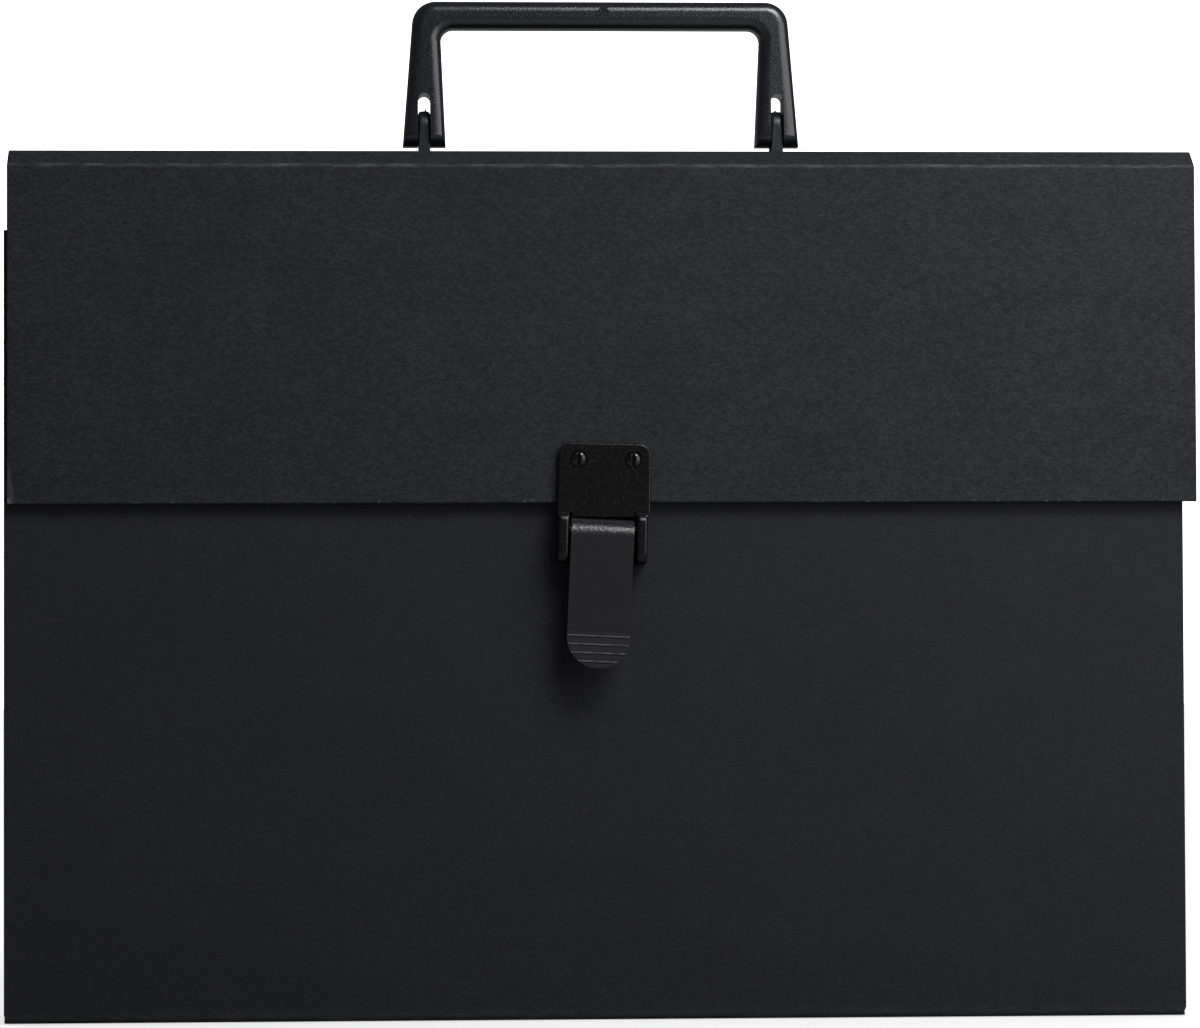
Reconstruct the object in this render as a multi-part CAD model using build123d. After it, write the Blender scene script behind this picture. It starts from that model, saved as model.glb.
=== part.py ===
"""Sorting folder: a creased board case with fanning pockets, a swinging handle and a lever latch.

Millimetres. X runs along the width, the front faces -Y, +Z is up.
The origin is the centre of the face that the folder stands on.
"""
from build123d import *
from math import acos, atan2, cos, radians, sin, tan
import os

# Boards and clearances
board = 2.0
card = 0.8
gusset_paper = 0.5
label_paper = 0.2
slip = 0.3
tight = 0.05

# Pockets and the case round them
pocket_count = 6
pocket_gap = 5.0
case_width = 335.0
side_room = 17.8
pleat_inset = 1.8
front_step = 18.3
divider_step = 2.5
corner_clip_width = 0.9
corner_clip_height = 2.3

# Lid: the creases' height, and the bevelled facets above them
crease_height = 242.1
bevel_rise = 4.8
bevel_run = 7.5
lid_overhang = 1.2
lid_shift = 2.3
flap_drop = 95.9
flap_gap = 1.3

# Index tabs and their labels
tab_height = 11.0
tab_space = 4.0
tab_corner = 3.0
label_width = 38.0
label_height = 7.5
label_drop = 1.5

# Handle: the grip's front view, its side view, and the forked feet
grip_opening = 92.1
grip_reach = 44.1
bar_height = 8.1
bar_depth = 9.2
leg_width_top = 7.6
leg_spread = 3.3
foot_width = 12.4
outer_corner = 6.8
inner_corner = 3.5
grip_round = 3.4
loop_pitch = 101.4
cross_bar_height = 8.2
cross_bar_radius = 2.0
foot_gap = 2.2
fork_slot = 3.6
fork_slot_reach = 9.1
nub_radius = 1.9
nub_rise = 0.3
nub_offset = 0.7

# Handle loops: straps over the cross bars, barbed under a backing plate
strap = 2.4
loop_width = 3.4
barb = 0.8
barb_height = 1.0
backing_plate = 1.5
backing_length = 26.0
backing_depth = 15.0

# Latch: the plate, and where it sits on the flap
latch_shift = -1.0
latch_turn = 1.2
lever_skew = 1.5
lever_drop = 9.4
plate_width = 26.3
plate_shift = 0.3
plate_rise = 26.2
plate_thick = 2.0
plate_corner = 3.4
plate_edge_round = 0.5
lug_thick = 3.2
lug_span = 19.0
lug_up = 6.6
lug_down = 8.0
lug_reach = 5.1
lug_round = 3.0

# Split studs: their pitch, and how far above the lever's shoulder they sit
stud_pitch = 15.5
stud_shift = 0.7
stud_rise = 21.6
stud_shank_radius = 1.4
stud_head_radius = 2.0
stud_head_height = 0.9
stud_head_round = 0.54
stud_slot = 1.0
stud_ring = 0.5
stud_pad = 1.0
pad_margin = 3.0

# Lever: the rounded shoulder, the blade and the kicked-out tip
lever_width = 17.8
lever_length = 37.5
shoulder_radius = 4.8
shoulder_out = 0.8
blade_thick = 1.8
lever_wall = 1.4
hub_radius = 2.8
hub_wrap = 0.6
pin_radius = 1.0
pin_out = 1.5
pin_up = 1.9
grip_zone = 10.2
tip_kick = 12.0
grip_lines = 4
grip_line_pitch = 2.4
grip_line_width = 0.6
grip_line_height = 0.25

# Catch: a block on the front cover that the lever's walls click over
catch_flange_width = 12.0
catch_flange_thick = 1.6
catch_depth = 6.2
catch_up = 11.6
catch_height = 12.0
catch_stud_offset = 9.6
catch_flange_margin = 3.0
catch_edge = 0.6
snap_bump = 0.2
snap_bump_height = 4.0

# Widths and heights, worked out from the case and its creases
divider_width = case_width - 2 * side_room
lid_width = case_width + 2 * lid_overhang
front_height = crease_height - front_step
divider_top = front_height - divider_step

# Depths, worked out from the pockets and the boards
inner_depth = pocket_count * pocket_gap + (pocket_count - 1) * card
case_depth = inner_depth + 2 * board
back_y = case_depth / 2
front_y = -case_depth / 2
flap_back_y = front_y - flap_gap
flap_y = flap_back_y - board
lid_middle_y = (back_y + flap_y) / 2
lid_top = crease_height + bevel_rise
flap_bottom = crease_height - flap_drop

# Handle heights, worked out from the lid
cross_bar_z = lid_top + cross_bar_height
eye_radius = cross_bar_height - foot_gap
foot_z = cross_bar_z - eye_radius
grip_top = lid_top + grip_reach
bore_radius = cross_bar_radius + tight
loop_radius = bore_radius + strap

# Latch places, worked out from the flap
shoulder_z = flap_bottom - lever_drop
shoulder_y = flap_y - shoulder_out
lever_face_y = shoulder_y - shoulder_radius
plate_face_y = flap_y - plate_thick
latch_pin_y = shoulder_y - pin_out
latch_pin_z = shoulder_z + pin_up
latch_x = lid_shift + latch_shift
tongue_z = shoulder_z + shoulder_radius + 2 * slip

latch_place = Pos(latch_x, 0, latch_pin_z) * Rot(0, latch_turn, 0) * Pos(0, 0, -latch_pin_z)
lever_place = Pos(latch_x, 0, latch_pin_z) * Rot(0, latch_turn + lever_skew, 0) * Pos(0, 0, -latch_pin_z)


def block(x_low, x_high, y_low, y_high, z_low, z_high):
    """A plain block between two corners."""
    size = (x_high - x_low, y_high - y_low, z_high - z_low)
    middle = ((x_high + x_low) / 2, (y_high + y_low) / 2, (z_high + z_low) / 2)
    return Pos(*middle) * Box(*size)


def across(points, x_low, x_high):
    """A solid with one YZ section all the way from x_low to x_high."""
    section = make_face(Polyline(*[(x_low, y, z) for y, z in points], close=True))
    return extrude(section, amount=x_high - x_low, dir=(1, 0, 0))


def rod(radius, x_low, x_high, y, z):
    """A round bar along X."""
    return Pos((x_low + x_high) / 2, y, z) * Rot(0, 90, 0) * Cylinder(radius, x_high - x_low)


def stud(radius, x, y_low, y_high, z):
    """A round bar along Y."""
    return Pos(x, (y_low + y_high) / 2, z) * Rot(90, 0, 0) * Cylinder(radius, y_high - y_low)


def offset_line(points, distance):
    """The points of an open line, moved sideways by a distance, with mitred corners."""
    sides = []
    for (a, b), (c, d) in zip(points, points[1:]):
        along = Vector(c - a, d - b).normalized()
        sides.append(Vector(-along.Y, along.X))
    moved = []
    for i, (a, b) in enumerate(points):
        before, after = sides[max(i - 1, 0)], sides[min(i, len(sides) - 1)]
        shift = (before + after) * (distance / (1 + before.dot(after)))
        moved.append((a + shift.X, b + shift.Y))
    return moved


# The cover's outer and inner lines, up the back, over the top and down the flap
cover_outside = [
    (back_y, 0),
    (back_y, crease_height),
    (back_y - bevel_run, lid_top),
    (flap_y + bevel_run, lid_top),
    (flap_y, crease_height),
    (flap_y, flap_bottom),
]
cover_inside = offset_line(cover_outside, board)


def crease_gap(corner, width):
    """The slit that keeps two panels apart at a crease, along the mitre from corner to inside corner."""
    outside, inside = Vector(*cover_outside[corner]), Vector(*cover_inside[corner])
    along = (inside - outside).normalized()
    side = Vector(-along.Y, along.X) * (slip / 2)
    ends = [outside - along * board, inside + along * board]
    points = [ends[0] - side, ends[0] + side, ends[1] + side, ends[1] - side]
    return across([(p.X, p.Y) for p in points], -width, width)


def cover_panel(first, last, width):
    """A panel of the cover from one corner of its outline to another."""
    outside = cover_outside[first:last + 1]
    inside = cover_inside[first:last + 1]
    return across(outside + inside[::-1], -width / 2, width / 2)


def split_studs(x_list, z_list, seat_y, head_y):
    """Split studs that stand forward from seat_y, with their heads on the face at head_y."""
    solids = []
    for x, z in zip(x_list, z_list):
        shank = stud(stud_shank_radius, x, head_y, seat_y, z)
        head = stud(stud_head_radius, x, head_y - stud_head_height, head_y, z)
        head = fillet(head.edges().sort_by(Axis.Y)[0], stud_head_round)
        half, reach = stud_slot / 2, stud_head_radius + slip
        cut = block(x - half, x + half, head_y - 2 * stud_head_height, head_y, z - reach, z + reach)
        solids.append(shank + head - cut)
    return solids


# Stud places on the latch plate and on the catch, in the latch's own upright frame
plate_stud_x = [stud_shift - stud_pitch / 2, stud_shift + stud_pitch / 2]
plate_stud_z = [shoulder_z + stud_rise] * 2
catch_z = shoulder_z - catch_up - catch_height / 2
catch_stud_x = [0, 0]
catch_stud_z = [catch_z - catch_stud_offset, catch_z + catch_stud_offset]


def stud_holes(x_list, z_list, y_low, y_high):
    """Clearance holes for the studs' shanks."""
    return [stud(stud_shank_radius + tight, x, y_low, y_high, z) for x, z in zip(x_list, z_list)]


def backing_pad(x_list, z_list, y_back, grow):
    """The plate that a pair of studs stands on, let into the back of a board. grow makes its recess."""
    return block(
        min(x_list) - pad_margin - grow, max(x_list) + pad_margin + grow,
        y_back - stud_pad, y_back,
        min(z_list) - pad_margin - grow, max(z_list) + pad_margin + grow,
    )


def make_back_cover():
    return cover_panel(0, 1, case_width) - crease_gap(1, case_width)


def make_bottom_panel():
    return block(-case_width / 2, case_width / 2, front_y + board + slip, back_y - board, 0, board)


def make_front_cover():
    half = case_width / 2
    panel = block(-half, half, front_y, front_y + board, 0, front_height)
    for side in (-1, 1):
        corner = [(side * half, 0), (side * (half - corner_clip_width), 0), (side * half, corner_clip_height)]
        clip = make_face(Polyline(*[(x, front_y, z) for x, z in corner], close=True))
        panel -= extrude(clip, amount=board, dir=(0, 1, 0))
    cover_back = front_y + board
    for hole in stud_holes(catch_stud_x, catch_stud_z, front_y, cover_back):
        panel -= lever_place * hole
    panel -= lever_place * backing_pad(catch_stud_x, catch_stud_z, cover_back, tight)
    return panel


def make_top_panel():
    panel = Pos(lid_shift, 0, 0) * cover_panel(1, 4, lid_width)
    panel -= Pos(lid_shift, 0, 0) * crease_gap(1, lid_width)
    panel -= Pos(lid_shift, 0, 0) * crease_gap(4, lid_width)
    for x in loop_places():
        panel -= loop_hole(x, lid_top - 2 * board, lid_top + board)
    return panel


def make_flap_panel():
    panel = Pos(lid_shift, 0, 0) * (cover_panel(4, 5, lid_width) - crease_gap(4, lid_width))
    for hole in stud_holes(plate_stud_x, plate_stud_z, flap_y, flap_back_y):
        panel -= latch_place * hole
    panel -= latch_place * backing_pad(plate_stud_x, plate_stud_z, flap_back_y, tight)
    return panel


def divider_y(number):
    """The middle of a divider's thickness, counted from the back."""
    return back_y - board - number * pocket_gap - (number - 0.5) * card


def tab_range(number):
    """The low and high X of a divider's index tab: the tabs step along the width from divider to divider."""
    tab_count = pocket_count - 1
    tab_width = (divider_width - (tab_count + 1) * tab_space) / tab_count
    low = -divider_width / 2 + tab_space + (number - 1) * (tab_width + tab_space)
    return low, low + tab_width


def make_divider(number):
    y = divider_y(number)
    low, high = tab_range(number)
    half = divider_width / 2
    sheet = block(-half, half, y - card / 2, y + card / 2, board + slip, divider_top)
    tab = block(low, high, y - card / 2, y + card / 2, divider_top, divider_top + tab_height)
    tab = fillet(tab.edges().filter_by(Axis.Y).group_by(Axis.Z)[-1], tab_corner)
    return sheet + tab


def make_index_label(number):
    low, high = tab_range(number)
    middle = (low + high) / 2
    face_y = divider_y(number) - card / 2
    top = divider_top + tab_height - label_drop
    return block(
        middle - label_width / 2, middle + label_width / 2,
        face_y - label_paper, face_y,
        top - label_height, top,
    )


def make_gusset(side):
    """A pleated side: it folds inward at each divider and outward between them."""
    inner = divider_width / 2 + slip
    outer = case_width / 2 - pleat_inset
    back_line = back_y - board - gusset_paper / 2
    front_line = front_y + board + slip + gusset_paper / 2
    folds = [(inner, back_line), (outer, back_line)]
    for number in range(1, pocket_count):
        folds.append((inner, divider_y(number)))
        if number < pocket_count - 1:
            folds.append((outer, (divider_y(number) + divider_y(number + 1)) / 2))
    folds += [(outer, front_line), (inner, front_line)]
    near = offset_line(folds, gusset_paper / 2)
    far = offset_line(folds, -gusset_paper / 2)
    outline = Polyline(*[(x, y, board + slip) for x, y in near + far[::-1]], close=True)
    pleats = extrude(make_face(outline), amount=divider_top - board - slip, dir=(0, 0, 1))
    pleats = pleats & block(inner, outer, front_y + board, back_y - board, 0, divider_top)
    return pleats if side > 0 else pleats.mirror(Plane.YZ)


def loop_places():
    """The two handle loops' X."""
    return [lid_shift + side * loop_pitch / 2 for side in (-1, 1)]


def loop_hole(x, z_low, z_high):
    """The hole that a loop passes through, a little larger than the loop."""
    half_x, half_y = loop_width / 2 + tight, loop_radius + tight
    return block(x - half_x, x + half_x, lid_middle_y - half_y, lid_middle_y + half_y, z_low, z_high)


def make_handle_grip():
    opening_half = grip_opening / 2
    top_half = opening_half + leg_width_top
    spread_half = top_half + leg_spread
    inner_half = spread_half - foot_width
    under_bar = grip_top - bar_height
    front_view = [(-spread_half, foot_z), (-top_half, grip_top), (top_half, grip_top), (spread_half, foot_z)]
    opening = [(-inner_half, foot_z), (-opening_half, under_bar), (opening_half, under_bar), (inner_half, foot_z)]
    depth = 2 * eye_radius
    place = Pos(lid_shift, lid_middle_y, 0)

    def view(points, radius):
        face = make_face(Polyline(*[(x, -depth, z) for x, z in points], close=True))
        solid = extrude(face, amount=2 * depth, dir=(0, 1, 0))
        return fillet(solid.edges().filter_by(Axis.Y).group_by(Axis.Z)[-1], radius)

    frame = view(front_view, outer_corner) - view(opening, inner_corner)
    touch_y, touch_z = leg_touch()
    lean = (touch_y - bar_depth / 2) / (grip_top - touch_z)
    foot_y = touch_y + (touch_z - foot_z) * lean
    sides = [(-foot_y, foot_z), (-bar_depth / 2, grip_top), (bar_depth / 2, grip_top), (foot_y, foot_z)]
    grip = frame & across(sides, -spread_half, spread_half)
    grip = fillet(long_edges(grip), grip_round)
    round_foot = block(-spread_half, spread_half, -depth, depth, touch_z, grip_top)
    round_foot += rod(eye_radius, -spread_half, spread_half, 0, cross_bar_z)
    grip = grip & round_foot
    for side in (-1, 1):
        x = side * loop_pitch / 2
        low, high = x - fork_slot / 2, x + fork_slot / 2
        slot_top = cross_bar_z + fork_slot_reach - fork_slot / 2
        grip -= block(low, high, -depth, depth, foot_z - slip, slot_top)
        grip -= stud(fork_slot / 2, x, -depth, depth, slot_top)
        grip += rod(cross_bar_radius, low, high, 0, cross_bar_z)
    nub_z = grip_top - bar_height / 2 + nub_rise
    grip += stud(nub_radius, nub_offset, -bar_depth / 2 - nub_rise, 0, nub_z)
    return place * grip


def leg_touch():
    """Where a leg's flat back face runs tangent into its round foot, from the middle of the depth."""
    reach_y, reach_z = bar_depth / 2, grip_top - cross_bar_z
    lean = acos(eye_radius / (reach_y * reach_y + reach_z * reach_z) ** 0.5)
    turn = atan2(reach_z, reach_y) - lean
    return eye_radius * cos(turn), cross_bar_z + eye_radius * sin(turn)


def long_edges(grip):
    """The edges where the grip's front and back faces meet its outline."""
    found = []
    for edge in grip.edges():
        extent = edge.bounding_box()
        if extent.max.Z > foot_z + foot_gap and extent.size.Y < eye_radius:
            found.append(edge)
    return found


def make_handle_loop(x):
    """A strap bent over the cross bar, with a barb on each leg under the backing plate."""
    barb_top = lid_top - board - backing_plate
    outside = rod(loop_radius, x - loop_width / 2, x + loop_width / 2, lid_middle_y, cross_bar_z)
    half = loop_width / 2
    legs = block(x - half, x + half, lid_middle_y - loop_radius, lid_middle_y + loop_radius,
                 barb_top - barb_height, cross_bar_z)
    barbs = block(x - half, x + half, lid_middle_y - loop_radius - barb, lid_middle_y + loop_radius + barb,
                  barb_top - barb_height, barb_top)
    hollow = rod(bore_radius, x - half, x + half, lid_middle_y, cross_bar_z)
    hollow += block(x - half, x + half, lid_middle_y - bore_radius, lid_middle_y + bore_radius,
                    barb_top - barb_height, cross_bar_z)
    return outside + legs + barbs - hollow


def make_handle_backing(x):
    top = lid_top - board
    plate = block(
        x - backing_length / 2, x + backing_length / 2,
        lid_middle_y - backing_depth / 2, lid_middle_y + backing_depth / 2,
        top - backing_plate, top,
    )
    plate = fillet(plate.edges().filter_by(Axis.Z), inner_corner)
    return plate - loop_hole(x, top - 2 * backing_plate, top)


def make_latch_plate():
    """The plate on the flap, its tongue down to the lever, and a lug each side of the lever."""
    low, high = plate_shift - plate_width / 2, plate_shift + plate_width / 2
    top = shoulder_z + plate_rise
    lug_top = shoulder_z + lug_up
    plate = block(low, high, plate_face_y, flap_y, lug_top, top)
    plate = fillet(plate.edges().filter_by(Axis.Y).group_by(Axis.Z)[-1], plate_corner)
    plate = fillet(plate.faces().sort_by(Axis.Y)[0].edges().sort_by(Axis.Z)[-3:], plate_edge_round)
    low, high = plate_shift - lever_width / 2, plate_shift + lever_width / 2
    plate += block(low, high, plate_face_y, flap_y, tongue_z, lug_top)
    lug_back = front_y - 2 * slip
    lug_face = flap_y - lug_reach
    for side in (-1, 1):
        near, far = sorted((side * lug_span / 2, side * (lug_span / 2 + lug_thick)))
        lug = block(near, far, lug_face, lug_back, shoulder_z - lug_down, lug_top)
        lug = fillet(lug.faces().sort_by(Axis.Y)[0].edges().filter_by(Axis.X), lug_round)
        arm = block(near, far, plate_face_y, flap_y, lug_top - lug_round, lug_top + plate_thick)
        plate += lug + arm
    for x, z in zip(plate_stud_x, plate_stud_z):
        plate -= stud(stud_head_radius + stud_ring, x, plate_face_y, plate_face_y + stud_head_height / 2, z)
    for hole in stud_holes(plate_stud_x, plate_stud_z, plate_face_y, flap_y):
        plate -= hole
    plate -= rod(pin_radius, -plate_width, plate_width, latch_pin_y, latch_pin_z)
    return latch_place * plate


def make_latch_backing():
    pad = backing_pad(plate_stud_x, plate_stud_z, flap_back_y, 0)
    head_y = plate_face_y + stud_head_height / 2
    for solid in split_studs(plate_stud_x, plate_stud_z, flap_back_y - stud_pad, head_y):
        pad += solid
    return latch_place * pad


def make_latch_pin():
    reach = lug_span / 2 + lug_thick
    return latch_place * rod(pin_radius, -reach, reach, latch_pin_y, latch_pin_z)


def kicked(z, y):
    """A point of the blade below its grip zone, moved out with the tip."""
    start = shoulder_z - lever_length + grip_zone
    return y - max(0.0, start - z) * tan(radians(tip_kick))


def make_latch_lever():
    """Rounded shoulder, blade with side walls, hub for the pin, and a tip kicked out for the finger."""
    tip = shoulder_z - lever_length
    kick = tip + grip_zone
    face, back = lever_face_y, lever_face_y + blade_thick
    half = lever_width / 2
    wall_back = latch_pin_y + hub_radius - blade_thick / 2
    hub = rod(hub_radius, -half, half, latch_pin_y, latch_pin_z)
    shoulder = rod(shoulder_radius, -half, half, shoulder_y, shoulder_z)
    shoulder = shoulder & block(-half, half, face, shoulder_y + shoulder_radius, shoulder_z, latch_pin_z + shoulder_radius)
    room = rod(hub_radius + hub_wrap, -half, half, latch_pin_y, latch_pin_z)
    room += block(-half, half, face, latch_pin_y + hub_radius / 2, shoulder_z, latch_pin_z)
    shoulder = shoulder & room
    block_low = shoulder_z - pin_up - blade_thick / 2
    body = [(face, shoulder_z), (face, block_low), (latch_pin_y + hub_radius / 2, block_low)]
    body += [(latch_pin_y + hub_radius - tight, latch_pin_z - hub_wrap), (latch_pin_y, latch_pin_z)]
    lever = hub + shoulder + across(body, -half, half)
    blade = [(face, shoulder_z), (face, kick), (kicked(tip, face), tip)]
    blade += [(kicked(tip, back), tip), (back, kick), (back, shoulder_z)]
    lever += across(blade, -half, half)
    walls = [(face, shoulder_z), (wall_back, shoulder_z), (wall_back, catch_z - catch_height / 2)]
    walls += [(back, kick - blade_thick), (face, kick)]
    for side in (-1, 1):
        near, far = sorted((side * (half - lever_wall), side * half))
        lever += across(walls, near, far)
    tip_middle = tip + half
    ahead, behind = face - lever_length, back + lever_length
    keep = block(-half, half, ahead, behind, tip_middle, latch_pin_z + 2 * shoulder_radius)
    keep += stud(half, 0, ahead, behind, tip_middle)
    lever = lever & keep
    for number in range(grip_lines):
        z = kick - grip_line_pitch * (number + 0.5)
        line_y = kicked(z, face)
        reach = grip_line_reach(z, tip_middle, half)
        line = block(-reach, reach, -grip_line_height, grip_line_height, -grip_line_width / 2, grip_line_width / 2)
        lever += Pos(0, line_y, z) * Rot(tip_kick, 0, 0) * line
    groove = snap_bump + tight
    for side in (-1, 1):
        dent = stud(lever_wall, side * (half - lever_wall), wall_back - blade_thick, wall_back, catch_z)
        near, far = sorted((side * (half - lever_wall - groove), side * (half - lever_wall + groove)))
        lever -= dent & block(near, far, face, wall_back, catch_z - lever_wall, catch_z + lever_wall)
    askew = Pos(0, 0, latch_pin_z) * Rot(0, lever_skew, 0) * Pos(0, 0, -latch_pin_z)
    bore = rod(pin_radius + tight, -lever_width, lever_width, latch_pin_y, latch_pin_z)
    return latch_place * (askew * lever - bore)


def grip_line_reach(z, tip_middle, half):
    """Half the length of a grip line at a height on the round tip, stopped short of the edge."""
    below = max(0.0, tip_middle - z)
    return (half * half - below * below) ** 0.5 - 2 * slip


def make_catch_block():
    """A flange on the front cover and the block that the lever's walls close over."""
    flange_half = catch_flange_width / 2
    reach = catch_stud_offset + catch_flange_margin
    flange_y = front_y - catch_flange_thick
    flange = block(-flange_half, flange_half, flange_y, front_y, catch_z - reach, catch_z + reach)
    flange = fillet(flange.edges().filter_by(Axis.Y), plate_corner)
    half = lever_width / 2 - lever_wall - slip
    boss = block(-half, half, front_y - catch_depth, front_y, catch_z - catch_height / 2, catch_z + catch_height / 2)
    boss = chamfer(boss.faces().sort_by(Axis.Y)[0].edges(), catch_edge)
    for side in (-1, 1):
        bump_y = latch_pin_y + hub_radius - blade_thick
        boss += Pos(side * half, bump_y, catch_z) * Cylinder(snap_bump, snap_bump_height)
    catch = flange + boss
    for hole in stud_holes(catch_stud_x, catch_stud_z, flange_y, front_y):
        catch -= hole
    return lever_place * catch


def make_catch_backing():
    cover_back = front_y + board
    pad = backing_pad(catch_stud_x, catch_stud_z, cover_back, 0)
    for solid in split_studs(catch_stud_x, catch_stud_z, cover_back - stud_pad, front_y - catch_flange_thick):
        pad += solid
    return lever_place * pad


def make_parts():
    """Every piece, under the name of its node."""
    parts = {
        "back_cover": make_back_cover(),
        "bottom_panel": make_bottom_panel(),
        "front_cover": make_front_cover(),
        "top_panel": make_top_panel(),
        "flap_panel": make_flap_panel(),
        "gusset_left": make_gusset(-1),
        "gusset_right": make_gusset(1),
        "handle_grip": make_handle_grip(),
        "latch_plate": make_latch_plate(),
        "latch_backing": make_latch_backing(),
        "latch_lever": make_latch_lever(),
        "latch_pin": make_latch_pin(),
        "catch_block": make_catch_block(),
        "catch_backing": make_catch_backing(),
    }
    for number in range(1, pocket_count):
        parts[f"divider_{number}"] = make_divider(number)
        parts[f"index_label_{number}"] = make_index_label(number)
    for name, x in zip(("left", "right"), loop_places()):
        parts[f"handle_loop_{name}"] = make_handle_loop(x)
        parts[f"handle_backing_{name}"] = make_handle_backing(x)
    return parts


os.makedirs("parts", exist_ok=True)
for node, solid in make_parts().items():
    export_step(solid, f"parts/{node}.step")
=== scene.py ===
"""Sorting folder in black board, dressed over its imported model. Metres, the front faces -Y, +Z is up."""
import math

import bmesh
import bpy
import numpy as np
from mathutils import Matrix, Vector


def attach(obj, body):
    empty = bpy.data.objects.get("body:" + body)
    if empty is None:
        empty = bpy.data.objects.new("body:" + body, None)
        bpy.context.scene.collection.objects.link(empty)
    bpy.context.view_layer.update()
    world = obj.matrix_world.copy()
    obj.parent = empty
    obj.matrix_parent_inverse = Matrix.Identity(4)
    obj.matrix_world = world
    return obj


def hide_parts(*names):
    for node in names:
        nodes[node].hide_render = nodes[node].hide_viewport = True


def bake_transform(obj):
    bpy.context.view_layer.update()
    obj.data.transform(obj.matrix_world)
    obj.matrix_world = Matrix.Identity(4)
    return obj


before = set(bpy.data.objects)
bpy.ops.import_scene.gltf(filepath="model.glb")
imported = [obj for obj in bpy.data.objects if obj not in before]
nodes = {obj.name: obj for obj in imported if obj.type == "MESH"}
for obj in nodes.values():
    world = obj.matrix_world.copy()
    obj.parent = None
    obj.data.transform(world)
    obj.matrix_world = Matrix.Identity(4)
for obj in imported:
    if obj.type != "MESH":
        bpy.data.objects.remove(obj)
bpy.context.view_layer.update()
MM = 0.001

# The cover's sizes in millimetres, as the model has them
BOARD = 2.0
CASE_HALF = 167.5
LID_HALF = 168.7
LID_SHIFT = 2.3
BACK_Y = 19.0
FRONT_Y = -19.0
FLAP_Y = -22.3
CREASE_Z = 242.1
LID_TOP = 246.9
BEVEL_RUN = 7.5
FLAP_BOTTOM = 146.2
FRONT_TOP = 223.8
SEAM_Y = 6.0
CREASE_R = 1.3
BEVEL_R = 5.0
LEAST_BEND_R = 0.35
DEGREES_PER_FACET = 9
RIM = 0.28
CLIP_WIDTH = 1.0
CLIP_HEIGHT = 2.3

# The inside
PAPER = 0.5
CARD = 0.8
SLIP = 0.3
POCKETS = 6
POCKET_GAP = 5.0
DIVIDER_HALF = 149.7
DIVIDER_TOP = 221.3
PLEAT_OUT = 165.7
PLEAT_FLANGE = 1.0
PLEAT_STEP = 1.6
PLEAT_ROWS = 26

# The latch, upright in its own frame, which is turned about its pin
LATCH_X = 1.3
LATCH_TURN = 1.2
LEVER_SKEW = 1.5
LEAN = math.radians(LATCH_TURN + LEVER_SKEW)
LEVER_HALF = 8.9
LEVER_FACE = -27.9
LEVER_TIP = 99.3
SHOULDER_Y = -23.1
SHOULDER_Z = 136.8
SHOULDER_R = 4.8
KICK_Z = 109.5
KICK = math.radians(12.0)
PIN_Y = -24.6
PIN_Z = 138.7
PLATE_Y = -24.3
STUD_X = 0.7
STUD_PITCH = 15.5
STUD_Z = 158.4
STUD_R = 2.15
STUD_SEAT = 0.55
STUD_SPLIT = 1.0
STUD_RING = 1.0
SHANK_R = 1.38
SHANK_DEEP = 0.75
RIDGES = 4
RIDGE_Z = 101.1
RIDGE_PITCH = 2.4

# The handle
CROSS_BAR_Y = -1.65
CROSS_BAR_Z = 255.1
EYE_R = 6.0
FOOT_SQUARENESS = 4
FLASH_LEFT = (-48.0, -1.8, 259.75)
FLASH_RIGHT = (52.8, -1.8, 259.75)

# How brightly the room lights the object from the front and from the rear, and is mirrored behind it
ROOM = 0.18
REAR = 2.1
MIRRORED = 0.07

# Edges of mouldings, in degrees and millimetres
KEEN = 35
FINE_WIDTH = 0.08

# Finishes, and the colours of painted highlights
# Worn board; also the colour of the painted highlight just above the bottom crease
WORN_AND_BEND_HIGHLIGHT = (0.085, 0.087, 0.095)
DUST = (0.03, 0.03, 0.034)
# The colour of the painted highlights along the lever's grip ridges
RIDGE_HIGHLIGHT = (0.1, 0.1, 0.105)

# Small mesh tools


def shade(obj, angle):
    """Shades a mesh smooth, with sharp edges above an angle in degrees."""
    for polygon in obj.data.polygons:
        polygon.use_smooth = True
    obj.data.set_sharp_from_angle(angle=math.radians(angle))


def new_object(name, mesh, smooth):
    obj = bpy.data.objects.new(name, mesh)
    bpy.context.scene.collection.objects.link(obj)
    shade(obj, smooth)
    return obj


def mesh_object(name, vertices, faces, smooth=40):
    """A mesh object from points in millimetres."""
    mesh = bpy.data.meshes.new(name)
    mesh.from_pydata([tuple(c * MM for c in v) for v in vertices], [], faces)
    mesh.validate()
    return new_object(name, mesh, smooth)


def bmesh_object(name, bm, smooth):
    """A mesh object from a bmesh, which is used up."""
    mesh = bpy.data.meshes.new(name)
    bm.to_mesh(mesh)
    bm.free()
    return new_object(name, mesh, smooth)


def even(obj):
    """Keeps the wide faces flat, so that only the rounded edges between them catch the light."""
    normals = obj.modifiers.new("even", "WEIGHTED_NORMAL")
    normals.keep_sharp = True
    normals.weight = 90


def apply(obj):
    """Applies an object's modifiers."""
    graph = bpy.context.evaluated_depsgraph_get()
    mesh = bpy.data.meshes.new_from_object(obj.evaluated_get(graph))
    obj.modifiers.clear()
    obj.data = mesh


def keep_rest(obj):
    """Stores each point's place at rest, which the grain is drawn from."""
    places = np.array([v.co for v in obj.data.vertices], np.float32)
    attribute = obj.data.attributes.new("rest", "FLOAT_VECTOR", "POINT")
    attribute.data.foreach_set("vector", places.ravel())


def keen_edges(bm, angle):
    """The edges where two faces meet at more than an angle in degrees."""
    least = math.radians(angle)
    return [e for e in bm.edges if len(e.link_faces) == 2 and e.calc_face_angle(0) > least]


def round_edges(bm, edges, width, segments, clamp=True):
    bmesh.ops.bevel(bm, geom=edges, offset=width, segments=segments, affect="EDGES", profile=0.5,
                    clamp_overlap=clamp)


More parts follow.
